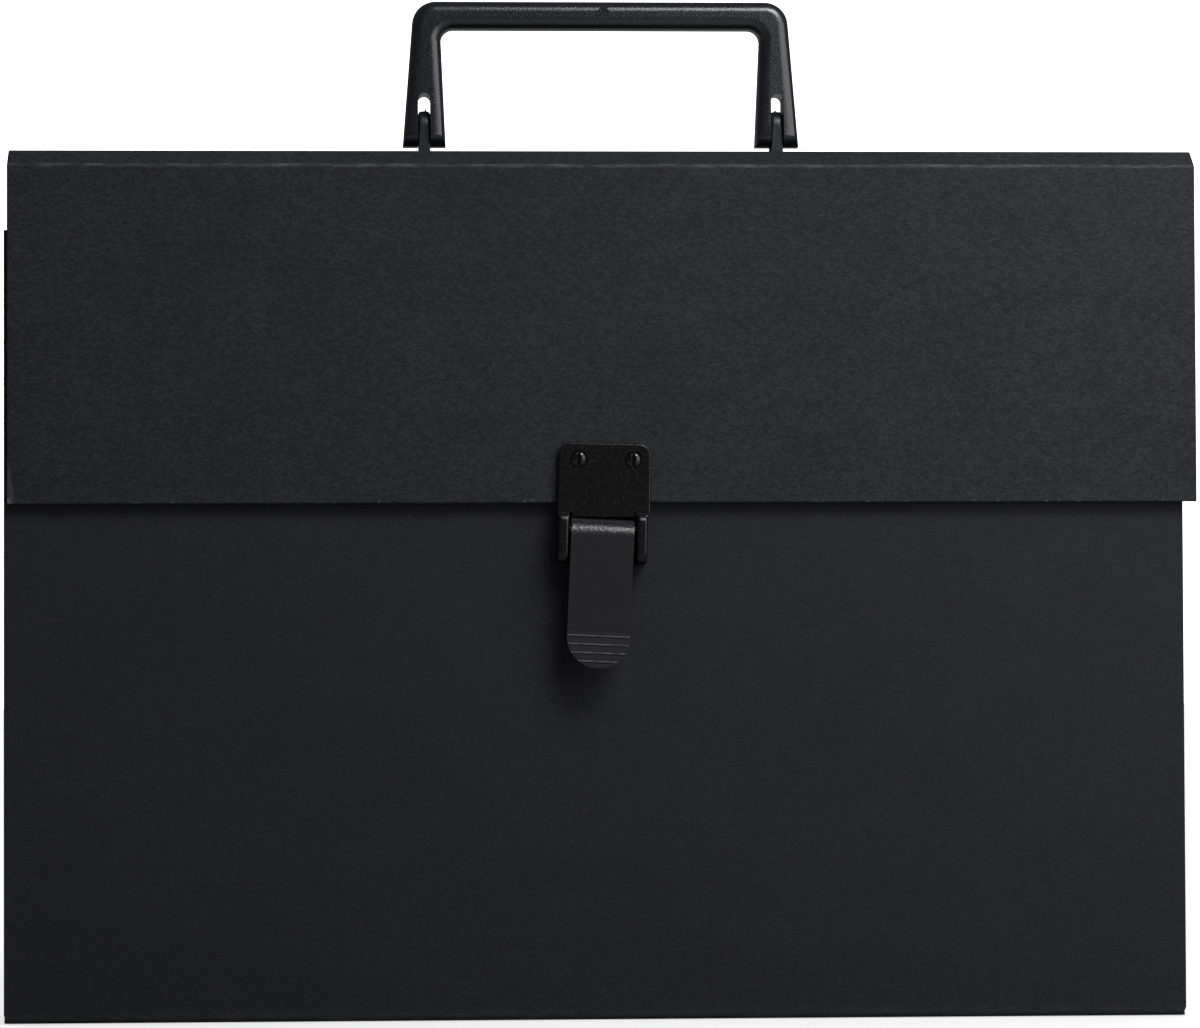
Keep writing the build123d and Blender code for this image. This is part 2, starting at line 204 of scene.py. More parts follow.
def cut_away(bm, point, normal):
    """Removes what lies beyond a plane, and closes the cut."""
    everything = bm.verts[:] + bm.edges[:] + bm.faces[:]
    bmesh.ops.bisect_plane(bm, geom=everything, plane_co=point, plane_no=normal, clear_outer=True)
    bmesh.ops.holes_fill(bm, edges=[e for e in bm.edges if e.is_boundary])


# Folded board


def steps(length, coarse, fine=(0.5, 1.0, 1.6, 2.4, 4.0)):
    """Stations along a run: close together near both ends, where the board bends."""
    inner = [f for f in fine if f < length / 2]
    stations = [0.0] + inner
    low, high = stations[-1], length - stations[-1]
    count = max(1, math.ceil((high - low) / coarse))
    stations += [low + (high - low) * i / count for i in range(1, count)]
    stations += [length - s for s in reversed([0.0] + inner)]
    return sorted(set(round(s, 5) for s in stations))


def folded_line(points, radii, thickness, coarse=9.0):
    """Outer and inner (y, z) points along a folded board. The inside is to the left of the line."""
    points = [Vector(p) for p in points]
    runs = [(b - a).normalized() for a, b in zip(points, points[1:])]
    sides = [Vector((-r.y, r.x)) for r in runs]
    inner = []
    for i, p in enumerate(points):
        before, after = sides[max(i - 1, 0)], sides[min(i, len(sides) - 1)]
        inner.append(p + (before + after) * (thickness / (1 + before.dot(after))))

    def arc(corner, i, radius, count):
        a, b = runs[i - 1], runs[i]
        turn = a.angle_signed(b)
        start = corner - a * radius * math.tan(abs(turn) / 2)
        centre = start + sides[i - 1] * radius * (1 if turn < 0 else -1)
        spoke = start - centre
        return [centre + spoke @ Matrix.Rotation(turn * k / count, 2).to_2x2() for k in range(count + 1)]

    out_arcs, in_arcs = [[points[0]]], [[inner[0]]]
    for i in range(1, len(points) - 1):
        turn = runs[i - 1].angle_signed(runs[i])
        count = max(4, round(abs(math.degrees(turn)) / DEGREES_PER_FACET))
        far = radii[i - 1]
        near = max(far - thickness, LEAST_BEND_R)
        out_arcs.append(arc(points[i], i, far if turn < 0 else near + thickness, count))
        in_arcs.append(arc(inner[i], i, near, count))
    out_arcs.append([points[-1]])
    in_arcs.append([inner[-1]])
    outside, inside = list(out_arcs[0]), list(in_arcs[0])
    for k in range(1, len(out_arcs)):
        a, b = out_arcs[k - 1][-1], out_arcs[k][0]
        c, d = in_arcs[k - 1][-1], in_arcs[k][0]
        length = (b - a).length
        for s in steps(length, coarse)[1:-1]:
            outside.append(a.lerp(b, s / length))
            inside.append(c.lerp(d, s / length))
        outside += out_arcs[k]
        inside += in_arcs[k]
    return outside, inside


def sheet(name, outside, inside, left, right, open_ends):
    """A board swept along X between left(y, z) and right(y, z). open_ends butt on the next board."""
    rows = len(outside)
    span = 300
    shares = [s / span for s in steps(span, 8.0)]
    wide = len(shares)
    vertices, faces = [], []
    for line in (outside, inside):
        for p, q in zip(line, outside):
            low, high = left(q.x, q.y), right(q.x, q.y)
            vertices += [(low + (high - low) * share, p.x, p.y) for share in shares]
    under = rows * wide
    for r in range(rows - 1):
        for a in range(r * wide, (r + 1) * wide - 1):
            faces.append((a, a + 1, a + wide + 1, a + wide))
            faces.append((under + a, under + a + wide, under + a + wide + 1, under + a + 1))
    for r in range(rows - 1):
        a, b = r * wide, (r + 1) * wide - 1
        faces.append((a, a + wide, under + a + wide, under + a))
        faces.append((b, under + b, under + b + wide, b + wide))
    last = (rows - 1) * wide
    for c in range(wide - 1):
        faces.append((c, under + c, under + c + 1, c + 1))
        faces.append((last + c, last + c + 1, under + last + c + 1, under + last + c))
    obj = mesh_object(name, vertices, faces)
    bm = bmesh.new()
    bm.from_mesh(obj.data)
    bmesh.ops.recalc_face_normals(bm, faces=bm.faces)
    ends = {"first": (0, under), "last": (last, under + last)}
    butt = set()
    for end in open_ends:
        for start in ends[end]:
            butt |= set(range(start, start + wide))
    rims = [e for e in keen_edges(bm, 50) if not all(v.index in butt for v in e.verts)]
    round_edges(bm, rims, RIM * MM, 2)
    bm.to_mesh(obj.data)
    bm.free()
    shade(obj, 50)
    return obj


# Node trees


class Graph:
    """Short words for building a node tree."""

    def __init__(self, tree):
        self.tree = tree

    def node(self, kind, **settings):
        node = self.tree.nodes.new(kind)
        for key, value in settings.items():
            setattr(node, key, value)
        return node

    def link(self, source, target):
        self.tree.links.new(source, target)

    def place(self, stored):
        """Points in millimetres: the stored rest place, or the object's own coordinates."""
        if stored:
            source = self.node("ShaderNodeAttribute", attribute_name="rest").outputs["Vector"]
        else:
            source = self.node("ShaderNodeTexCoord").outputs["Object"]
        scale = self.node("ShaderNodeVectorMath", operation="SCALE")
        self.link(source, scale.inputs[0])
        scale.inputs["Scale"].default_value = 1 / MM
        return scale.outputs[0]

    def vector_math(self, operation, source, values):
        node = self.node("ShaderNodeVectorMath", operation=operation)
        self.link(source, node.inputs[0])
        node.inputs[1].default_value = values
        return node.outputs

    def stretch(self, source, factors):
        return self.vector_math("MULTIPLY", source, factors)[0]

    def noise_node(self, source, detail, rough):
        node = self.node("ShaderNodeTexNoise")
        self.link(source, node.inputs["Vector"])
        node.inputs["Scale"].default_value = 1.0
        node.inputs["Detail"].default_value = detail
        node.inputs["Roughness"].default_value = rough
        return node

    def noise(self, source, factors, detail=2.0, rough=0.5, shift=(0, 0, 0)):
        """Noise with its own number of features per millimetre along each axis."""
        moved = self.stretch(source, factors)
        if any(shift):
            moved = self.vector_math("ADD", moved, shift)[0]
        return self.noise_node(moved, detail, rough).outputs["Fac"]

    def math(self, operation, a, b=None):
        node = self.node("ShaderNodeMath", operation=operation)
        for slot, value in zip(node.inputs, (a, b)):
            if value is None:
                continue
            if isinstance(value, (int, float)):
                slot.default_value = value
            else:
                self.link(value, slot)
        return node.outputs[0]

    def add(self, a, b):
        return self.math("ADD", a, b)

    def less(self, a, b):
        return self.math("SUBTRACT", a, b)

    def times(self, a, b):
        return self.math("MULTIPLY", a, b)

    def axis(self, source, name):
        node = self.node("ShaderNodeSeparateXYZ")
        self.link(source, node.inputs[0])
        return node.outputs[name]

    def spread(self, source, low, high, to_low=0.0, to_high=1.0):
        """Maps low to high smoothly onto another range."""
        node = self.node("ShaderNodeMapRange", interpolation_type="SMOOTHSTEP")
        self.link(source, node.inputs["Value"])
        for key, value in (("From Min", low), ("From Max", high), ("To Min", to_low), ("To Max", to_high)):
            node.inputs[key].default_value = value
        return node.outputs["Result"]

    def length(self, source):
        node = self.node("ShaderNodeVectorMath", operation="LENGTH")
        self.link(source, node.inputs[0])
        return node.outputs["Value"]

    def reach(self, source, centre, weights):
        """Distance from a centre, with each axis weighed."""
        offset = self.vector_math("SUBTRACT", source, centre)[0]
        return self.length(self.stretch(offset, weights))

    def mix(self, factor, a, b):
        node = self.node("ShaderNodeMix", data_type="RGBA")
        for slot, value in ((node.inputs["Factor"], factor), (node.inputs[6], a), (node.inputs[7], b)):
            if isinstance(value, (int, float)):
                slot.default_value = value
            elif isinstance(value, tuple):
                slot.default_value = (*value, 1)
            else:
                self.link(value, slot)
        return node.outputs[2]

    def bump(self, height, shader, distance, strength=1.0):
        """Bump with its height in millimetres."""
        node = self.node("ShaderNodeBump")
        node.inputs["Strength"].default_value = strength
        node.inputs["Distance"].default_value = distance * MM
        self.link(height, node.inputs["Height"])
        self.link(node.outputs["Normal"], shader.inputs["Normal"])

    def rays(self):
        """Light Path's camera rays, its glossy rays, and its glossy and transmission rays as one."""
        path = self.node("ShaderNodeLightPath").outputs
        mirrored = self.math("MAXIMUM", path["Is Glossy Ray"], path["Is Transmission Ray"])
        return path["Is Camera Ray"], path["Is Glossy Ray"], mirrored


# Materials


def new_material(name, color, roughness, specular=0.5):
    material = bpy.data.materials.new(name)
    material.use_nodes = True
    shader = material.node_tree.nodes["Principled BSDF"]
    shader.inputs["Base Color"].default_value = (*color, 1)
    shader.inputs["Roughness"].default_value = roughness
    shader.inputs["Specular IOR Level"].default_value = specular
    return material, shader, Graph(material.node_tree)


def rub_creases_and_paint_bend_highlight(g, p, color, creases):
    """Marks the board lighter along creases, each (y, z, reach, strength), with ragged sides: rubbed wear,
    and a painted highlight where the board bends.
    """
    ragged = g.noise(p, (0.14, 0.9, 0.9), 4, 0.7)
    for y, z, reach, strength in creases:
        near = g.spread(g.reach(p, (0, y, z), (0, 1, 1)), 0.0, reach, 1.0, 0.0)
        rub_and_highlight_mask = g.times(near, g.spread(ragged, 0.42, 0.66, 0.12, 1.0))
        color = g.mix(g.times(rub_and_highlight_mask, strength), color, WORN_AND_BEND_HIGHLIGHT)
    return color


def nick_edge(g, p, color, edge_z):
    """Nicks the board along a cut edge at a height."""
    above = g.less(g.axis(p, "Z"), edge_z)
    nicks = g.spread(g.noise(p, (0.9, 0.9, 0.4), 2, 0.7), 0.55, 0.75, 0.1, 1.3)
    return g.mix(g.spread(g.less(nicks, above), 0.0, 0.5, 0, 0.55), color, WORN_AND_BEND_HIGHLIGHT)


def scuff_corner(g, p, color, grain, corner):
    """Scuffs the board at a lower left corner, (x, z, wide, high)."""
    x, z, wide, high = corner
    up = g.times(g.less(g.axis(p, "Z"), z), wide / high)
    inward = g.add(g.less(g.axis(p, "X"), x), up)
    ragged = g.times(g.less(grain, 0.5), 0.8)
    wedge = g.spread(g.add(inward, ragged), wide - 0.3, wide + 0.3, 0.22, 0.0)
    tip = g.spread(g.add(g.reach(p, (x, 0, z), (1, 0, 0.8)), ragged), 0.8, 2.0, 0.9, 0.0)
    return g.mix(g.math("MAXIMUM", wedge, tip), color, WORN_AND_BEND_HIGHLIGHT)


def board_material(name, dark, light, creases, edge_z=None, corner=None):
    """Black kraft board: short fibres lying every way but more along X, light flecks, wear, and the painted
    highlight among the crease marks.
    """
    material, shader, g = new_material(name, dark, 0.7, 0.25)
    p = g.place(True)
    warp = g.node("ShaderNodeTexNoise")
    g.link(g.stretch(p, (0.08, 0.08, 0.08)), warp.inputs["Vector"])
    push = g.node("ShaderNodeVectorMath", operation="MULTIPLY_ADD")
    g.link(warp.outputs["Color"], push.inputs[0])
    push.inputs[1].default_value = (5, 5, 5)
    g.link(p, push.inputs[2])
    bent = push.outputs[0]
    fibres = g.noise(bent, (0.35, 1.35, 1.35), 4, 0.66)
    grain = g.noise(p, (1.0, 1.9, 1.9), 3, 0.6, shift=(7, 3, 1))
    cloud = g.noise(p, (0.05, 0.07, 0.07), 3, 0.6, shift=(2, 9, 4))
    tone = g.add(g.times(fibres, 0.5), g.times(grain, 0.5))
    tone = g.add(tone, g.times(g.less(cloud, 0.5), 0.13))
    color = g.mix(g.spread(tone, 0.4, 0.62), dark, light)
    flecks = g.noise(bent, (0.5, 2.0, 2.0), 2, 0.55, shift=(31, 5, 8))
    color = g.mix(g.spread(flecks, 0.64, 0.76, 0, 0.5), color, tuple(c * 2.4 for c in light))
    color = rub_creases_and_paint_bend_highlight(g, p, color, creases)
    if edge_z is not None:
        color = nick_edge(g, p, color, edge_z)
    if corner is not None:
        color = scuff_corner(g, p, color, grain, corner)
    g.link(color, shader.inputs["Base Color"])
    g.bump(g.add(g.times(fibres, 0.6), g.times(grain, 0.4)), shader, 0.14)
    return material


def paint_ridge_highlights(g, p, color):
    """Paints highlights on the lever's grip ridges, in broken lighter lines just above the middle of each,
    where they catch the light from above.
    """
    along = g.vector_math("DOT_PRODUCT", p, (math.sin(LEAN), 0, math.cos(LEAN)))["Value"]
    foot = LATCH_X * math.sin(LEAN) + PIN_Z * math.cos(LEAN) - PIN_Z
    count = g.math("DIVIDE", g.less(along, foot + RIDGE_Z - RIDGE_PITCH / 2), RIDGE_PITCH)
    within = g.times(g.math("GREATER_THAN", count, 0), g.math("LESS_THAN", count, RIDGES))
    off = g.math("ABSOLUTE", g.less(g.math("FRACT", count), 0.5 + 0.17 / RIDGE_PITCH))
    line = g.spread(off, 0.05 / RIDGE_PITCH, 0.24 / RIDGE_PITCH, 1.0, 0.0)
    broken = g.spread(g.noise(p, (0.35, 0.9, 0.9), 3, 0.7, shift=(6, 1, 3)), 0.36, 0.56, 0.15, 1.0)
    return g.mix(g.times(g.times(g.times(line, within), broken), 0.8), color, RIDGE_HIGHLIGHT)


def plastic_material(name, color, roughness, specular, spark, grain, mottle=1.0, dust=0.0,
                     rough_band=None, ridges=False):
    """Moulded plastic with a spark-eroded texture, spark millimetres deep, with grain features per
    millimetre. mottle scales how uneven it is, dust adds pale specks, rough_band coarsens a band of Z, and
    ridges paints highlights along the lever's grip ridges."""
    material, shader, g = new_material(name, color, roughness, specular)
    p = g.place(False)
    fine = g.noise(p, (grain, grain, grain), 2, 0.6)
    cloud = g.noise(p, (0.15, 0.15, 0.15), 2, 0.5, shift=(4, 4, 4))
    tone = g.add(g.times(fine, 0.5), g.times(cloud, 0.5))
    uneven = 0.12 * mottle
    shown = g.mix(g.spread(tone, 0.3, 0.7), tuple(c * (1 - uneven) for c in color),
                  tuple(c * (1 + uneven) for c in color))
    if dust:
        specks = g.noise(p, (1.7, 1.7, 1.7), 2, 0.7, shift=(11, 2, 5))
        shown = g.mix(g.spread(specks, 0.56, 0.74, 0, dust), shown, DUST)
    # Painted highlights along the lever's grip ridges
    if ridges:
        shown = paint_ridge_highlights(g, p, shown)
    g.link(shown, shader.inputs["Base Color"])
    g.link(g.spread(fine, 0.25, 0.75, roughness - 0.06 * mottle, roughness + 0.08 * mottle),
           shader.inputs["Roughness"])
    height = fine
    if rough_band:
        low, high = rough_band
        up = g.axis(p, "Z")
        band = g.times(g.spread(up, low - 0.6, low + 0.6), g.spread(up, high - 0.6, high + 0.6, 1.0, 0.0))
        coarse = g.less(g.noise(p, (1.5, 1.5, 1.5), 2, 0.6, shift=(3, 8, 1)), 0.5)
        height = g.add(fine, g.times(g.times(coarse, band), 26.0))
    g.bump(height, shader, spark)
    return material


def paper_material(name, dark, light, stored=False):
    """Uncoated paper or thin card: soft mottling and fine fibres."""
    material, shader, g = new_material(name, dark, 0.8, 0.25)
    p = g.place(stored)
    fibres = g.noise(p, (1.1, 2.4, 2.4), 3, 0.6)
    cloud = g.noise(p, (0.03, 0.03, 0.03), 2, 0.5, shift=(5, 1, 2))
    tone = g.add(g.times(fibres, 0.6), g.times(cloud, 0.4))
    g.link(g.mix(g.spread(tone, 0.3, 0.7), dark, light), shader.inputs["Base Color"])
    g.bump(fibres, shader, 0.03, 0.5)
    return material


def steel_material(name):
    """Blackened steel, drawn lengthwise."""
    material, shader, g = new_material(name, (0.03, 0.03, 0.033), 0.4)
    shader.inputs["Metallic"].default_value = 1.0
    brushed = g.noise(g.place(False), (0.6, 9, 9), 2, 0.6)
    g.link(g.spread(brushed, 0.2, 0.8, 0.28, 0.45), shader.inputs["Roughness"])
    g.link(g.mix(brushed, (0.02, 0.02, 0.023), (0.04, 0.04, 0.043)), shader.inputs["Base Color"])
    return material


def dress(obj, material):
    obj.data.materials.clear()
    obj.data.materials.append(material)


# Crease marks, each (y, z, reach, strength): rubbed wear along the four creases, and last a faint painted
# highlight just above the bottom crease, where the board bends out
CREASE_RUBS_AND_BEND_HIGHLIGHT = (
    (FLAP_Y, CREASE_Z, 1.1, 0.6), (BACK_Y, CREASE_Z, 1.1, 0.6),
    (FRONT_Y, 0, 1.4, 0.4), (BACK_Y, 0, 1.4, 0.4), (FRONT_Y, 2.2, 1.5, 0.1),
)
# The flap's board is painted lighter than the case's, standing in for the flap catching more light than the
# front cover
flap_board = board_material("black_board_flap", (0.0034, 0.0039, 0.0065), (0.0151, 0.0158, 0.0216),
                            CREASE_RUBS_AND_BEND_HIGHLIGHT, FLAP_BOTTOM, (LID_SHIFT - LID_HALF, FLAP_BOTTOM, 2.6, 14))
case_board = board_material("black_board_case", (0.0048, 0.0053, 0.0084), (0.0104, 0.0111, 0.0156),
                            CREASE_RUBS_AND_BEND_HIGHLIGHT)
gusset_paper = paper_material("black_gusset_paper", (0.012, 0.012, 0.014), (0.022, 0.022, 0.025),
                              stored=True)
card = paper_material("black_card", (0.018, 0.018, 0.02), (0.03, 0.03, 0.033))
label_paper = paper_material("label_paper", (0.66, 0.65, 0.6), (0.78, 0.77, 0.73))
handle_plastic = plastic_material("handle_plastic", (0.0038, 0.0046, 0.0082), 0.26, 0.66, spark=0.04,
                                  grain=2.4)
loop_plastic = plastic_material("loop_plastic", (0.0105, 0.0113, 0.0148), 0.36, 0.4, spark=0.03, grain=3.0)
latch_plastic = plastic_material("latch_plastic", (0.0022, 0.0022, 0.0028), 0.24, 0.32, spark=0.03,
                                 grain=2.0, dust=0.5)
stud_plastic = plastic_material("stud_plastic", (0.0014, 0.0014, 0.002), 0.18, 0.5, spark=0.01, grain=3.0)
lever_plastic = plastic_material("lever_plastic", (0.0122, 0.0118, 0.0142), 0.21, 0.5, spark=0.006,
                                 grain=3.0, mottle=0.3, rough_band=(PIN_Z - 2.2, PIN_Z + 3.5),
                                 ridges=True)
steel = steel_material("pin_steel")

# The cover: flap with the front of the top, back with the rear of the top, and front with the bottom


def lid_left(y, z):
    return LID_SHIFT - LID_HALF


def lid_right(y, z):
    return LID_SHIFT + LID_HALF


def lid_share(y, z):
    """How far the back board has come from the case's sides to the lid's, a little to the right."""
    return min(1.0, max(0.0, z / CREASE_Z)) if y > BACK_Y - 1 else float(z > 100)


def back_left(y, z):
    return -CASE_HALF + lid_share(y, z) * (LID_SHIFT - LID_HALF + CASE_HALF)


def back_right(y, z):
    return CASE_HALF + lid_share(y, z) * (LID_SHIFT + LID_HALF - CASE_HALF)


def clip(y, z):
    """How far the front's lower corners are cut in."""
    return CLIP_WIDTH * max(0.0, 1 - z / CLIP_HEIGHT) * min(1.0, max(0.0, FRONT_Y + BOARD - y))


def case_left(y, z):
    return -CASE_HALF + clip(y, z)


def case_right(y, z):
    return CASE_HALF - clip(y, z)


flap_line = folded_line(
    [(SEAM_Y, LID_TOP), (FLAP_Y + BEVEL_RUN, LID_TOP), (FLAP_Y, CREASE_Z), (FLAP_Y, FLAP_BOTTOM)],
    [BEVEL_R, CREASE_R], BOARD)
back_line = folded_line(
    [(0, 0), (BACK_Y, 0), (BACK_Y, CREASE_Z), (BACK_Y - BEVEL_RUN, LID_TOP), (SEAM_Y, LID_TOP)],
    [CREASE_R, CREASE_R, BEVEL_R], BOARD)
front_line = folded_line([(FRONT_Y, FRONT_TOP), (FRONT_Y, 0), (0, 0)], [CREASE_R], BOARD)
flap = sheet("flap_and_top_front", *flap_line, lid_left, lid_right, ["first"])
back = sheet("back_and_top_rear", *back_line, back_left, back_right, ["first", "last"])
front = sheet("front_and_bottom", *front_line, case_left, case_right, ["last"])
for piece, material in ((flap, flap_board), (back, case_board), (front, case_board)):
    keep_rest(piece)
    dress(piece, material)


def across_crease(piece):
    """Bakes a piece's transform into its mesh."""
    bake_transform(piece)


across_crease(flap)
across_crease(back)
across_crease(front)
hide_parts("flap_panel", "top_panel")
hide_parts("back_cover")
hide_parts("front_cover", "bottom_panel")

# Pleated gussets


def divider_y(number):
    return BACK_Y - BOARD - number * POCKET_GAP - (number - 0.5) * CARD


def pleat_line():
    """Points (x, y) along one side's pleats, folded inward at each divider and outward between them."""
    inner, outer = DIVIDER_HALF + SLIP, PLEAT_OUT
    back_at, front_at = BACK_Y - BOARD - PAPER / 2, FRONT_Y + BOARD + SLIP + PAPER / 2
    folds = [(inner + PLEAT_FLANGE, back_at), (outer, back_at)]
    for number in range(1, POCKETS):
        folds.append((inner, divider_y(number)))
        if number < POCKETS - 1:
            folds.append((outer, (divider_y(number) + divider_y(number + 1)) / 2))
    folds += [(outer, front_at), (inner + PLEAT_FLANGE, front_at)]
    line = []
    for a, b in zip(folds, folds[1:]):
        count = max(2, round(math.dist(a, b) / PLEAT_STEP))
        line += [(a[0] + (b[0] - a[0]) * k / count, a[1] + (b[1] - a[1]) * k / count) for k in range(count)]
    line.append(folds[-1])
    return line


def softer(line):
    """A line with its folds rounded off, and its ends kept."""
    threes = zip(line, line[1:], line[2:])
    middle = [tuple((a + 2 * b + c) / 4 for a, b, c in zip(*three)) for three in threes]
    return [line[0], *middle, line[-1]]


def gusset(name, side):
    """A pleated side, with soft folds."""
    line = softer(softer(pleat_line()))
    low, high = BOARD + SLIP, DIVIDER_TOP
    vertices = [(side * x, y, low + (high - low) * r / PLEAT_ROWS)
                for r in range(PLEAT_ROWS + 1) for x, y in line]
    wide = len(line)
    faces = [(a, a + 1, a + wide + 1, a + wide)
             for r in range(PLEAT_ROWS) for a in range(r * wide, (r + 1) * wide - 1)]
    obj = mesh_object(name, vertices, faces, 180)
    thicken = obj.modifiers.new("paper", "SOLIDIFY")
    thicken.thickness = PAPER * MM
    thicken.offset = 0
    apply(obj)
    return obj


for name, side in (("gusset_left", -1), ("gusset_right", 1)):
    piece = gusset(name + "_pleats", side)
    keep_rest(piece)
    dress(piece, gusset_paper)
    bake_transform(piece)
    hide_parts(name)

# Mouldings: the model's own shapes with their edges rounded as a mould leaves them


def moulding(name, node, body, width, segments=2, corners=None, large=1.0, fine=None, cut=None, before=None,
             after=None, smooth=35):
    """A node's shape with soft edges, riding where the node does. corners(a, b) picks the edges that get
    the large width first and fine(a, b) those that stay nearly sharp, cut is a plane Y in front of which
    the shape is cleared, before(bm) changes the shape first, and after(bm) adds to it last."""

    def picked(rule):
        return [e for e in keen_edges(bm, KEEN) if rule(*(v.co / MM for v in e.verts))]

    bm = bmesh.new()
    bm.from_mesh(nodes[node].data)
    bmesh.ops.remove_doubles(bm, verts=bm.verts, dist=0.00001)
    if before:
        before(bm)
    if cut is not None:
        cut_away(bm, (0, cut * MM, 0), (0, -1, 0))
    bmesh.ops.dissolve_limit(bm, angle_limit=math.radians(1), verts=bm.verts, edges=bm.edges)
    bmesh.ops.recalc_face_normals(bm, faces=bm.faces)
    if corners:
        round_edges(bm, picked(corners), large * MM, 4, clamp=False)
    if fine:
        round_edges(bm, picked(lambda a, b: not fine(a, b)), width * MM, segments)
        round_edges(bm, picked(fine), FINE_WIDTH * MM, 1)
    else:
        round_edges(bm, keen_edges(bm, KEEN), width * MM, segments)
    if after:
        after(bm)
        bmesh.ops.recalc_face_normals(bm, faces=bm.faces)
    obj = bmesh_object(name, bm, smooth)
    even(obj)
    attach(obj, body)
    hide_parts(node)
    return obj


def latch_point(x, z):
    """A point of the latch's own upright frame, turned with the latch about its pin."""
    z -= PIN_Z
    across, up = math.cos(math.radians(LATCH_TURN)), math.sin(math.radians(LATCH_TURN))
    return LATCH_X + x * across + z * up, PIN_Z - x * up + z * across


def lug_side(a, b):
    """The outline of the lugs in front of the plate and underneath, but not their pin holes."""
    if abs(a.x - b.x) > 0.3 or min(math.dist((v.y, v.z), (PIN_Y, PIN_Z)) for v in (a, b)) < 1.6:
        return False
    return max(a.y, b.y) < PLATE_Y - 0.05 and max(a.z, b.z) < PIN_Z + 3.7 or max(a.z, b.z) < PIN_Z - 9


about_pin = Matrix.Rotation(LEAN, 4, "Y") @ Matrix.Translation((0, 0, -PIN_Z))
lever_frame = Matrix.Translation((LATCH_X, 0, PIN_Z)) @ about_pin
kick_out = Vector((0, -math.cos(KICK), math.sin(KICK)))
kick_down = Vector((0, -math.sin(KICK), -math.cos(KICK)))


def plain_lever(bm):
    """Rolls hub and shoulder into one round, and presses the grip ridges level, so that the kicked tip is
    one face."""
    back = lever_frame.inverted()
    for v in bm.verts:
        point = back @ (v.co / MM)
        spoke = Vector((point.y - SHOULDER_Y, point.z - SHOULDER_Z))
        if point.y < SHOULDER_Y - 0.1 and point.z > SHOULDER_Z + 1 and spoke.length > SHOULDER_R:
            spoke = spoke.normalized() * SHOULDER_R
            v.co = lever_frame @ Vector((point.x, SHOULDER_Y + spoke.x, SHOULDER_Z + spoke.y)) * MM
        proud = (point - Vector((0, LEVER_FACE, KICK_Z))).dot(kick_out)
        if point.z < KICK_Z - 0.5 and 0.1 < proud < 0.4:
            v.co = lever_frame @ (point - kick_out * proud) * MM
    bmesh.ops.remove_doubles(bm, verts=bm.verts, dist=0.00003)


def square_feet(bm):
    """Fills the round eyes of the handle's feet out below the cross bars."""
    for v in bm.verts:
        down = Vector((v.co.y / MM - CROSS_BAR_Y, v.co.z / MM - CROSS_BAR_Z))
        if down.y < 0 and down.length > EYE_R - 0.1:
            across, drop = abs(down.x / down.length), abs(down.y / down.length)
            full = (across ** FOOT_SQUARENESS + drop ** FOOT_SQUARENESS) ** (-1 / FOOT_SQUARENESS)
            v.co.y = (CROSS_BAR_Y + down.x * full) * MM
            v.co.z = (CROSS_BAR_Z + down.y * full) * MM


RIDGE_SECTION = ((-0.32, -0.1), (-0.3, 0.06), (-0.22, 0.18), (-0.1, 0.24),
                 (0.1, 0.24), (0.22, 0.18), (0.3, 0.06), (0.32, -0.1))


def add_ridges(bm):
    """The lever's grip ridges, round on top, each nearly as long as the tip is wide there."""
    for number in range(RIDGES):
        z = RIDGE_Z + number * RIDGE_PITCH
        below = max(0.0, LEVER_TIP + LEVER_HALF - z)
        reach = math.sqrt(LEVER_HALF ** 2 - below ** 2) - 0.5
        middle = Vector((0, LEVER_FACE, KICK_Z)) + kick_down * ((KICK_Z - z) / math.cos(KICK))
        rings = []
        for x, height in ((-reach, 0.3), (-reach + 0.15, 0.85), (-reach + 0.4, 1), (reach - 0.4, 1),
                          (reach - 0.15, 0.85), (reach, 0.3)):
            ring = []
            for across, out in RIDGE_SECTION:
                raised = kick_out * (out * (height if out > 0 else 1))
                point = middle + Vector((x, 0, 0)) + kick_down * across + raised
                ring.append(bm.verts.new(lever_frame @ point * MM))
            rings.append(ring)
        for low, high in zip(rings, rings[1:]):
            for k in range(len(RIDGE_SECTION)):
                nxt = (k + 1) % len(RIDGE_SECTION)
                bm.faces.new((low[k], low[nxt], high[nxt], high[k]))
        bm.faces.new(rings[0][::-1])
        bm.faces.new(rings[-1])


def flash(place, radius, height):
    """A function that adds a small cone of flash, as a mould leaves where its halves meet."""
    def add(bm):
        cone = bmesh.ops.create_cone(bm, cap_ends=True, segments=8, radius1=radius * MM,
                                     radius2=0.25 * radius * MM, depth=height * MM)
        bmesh.ops.translate(bm, vec=Vector(place) * MM, verts=cone["verts"])
    return add


def strap_side(a, b):
    return min(a.z, b.z) > LID_TOP and abs(a.x - b.x) < 0.3


stud_places = [latch_point(STUD_X + side * STUD_PITCH / 2, STUD_Z) for side in (-1, 1)]


def ring_edge(a, b):
    """The rims of the rings round the studs."""
    far = max(min(math.dist((v.x, v.z), place) for place in stud_places) for v in (a, b))
    return far < STUD_R + STUD_RING


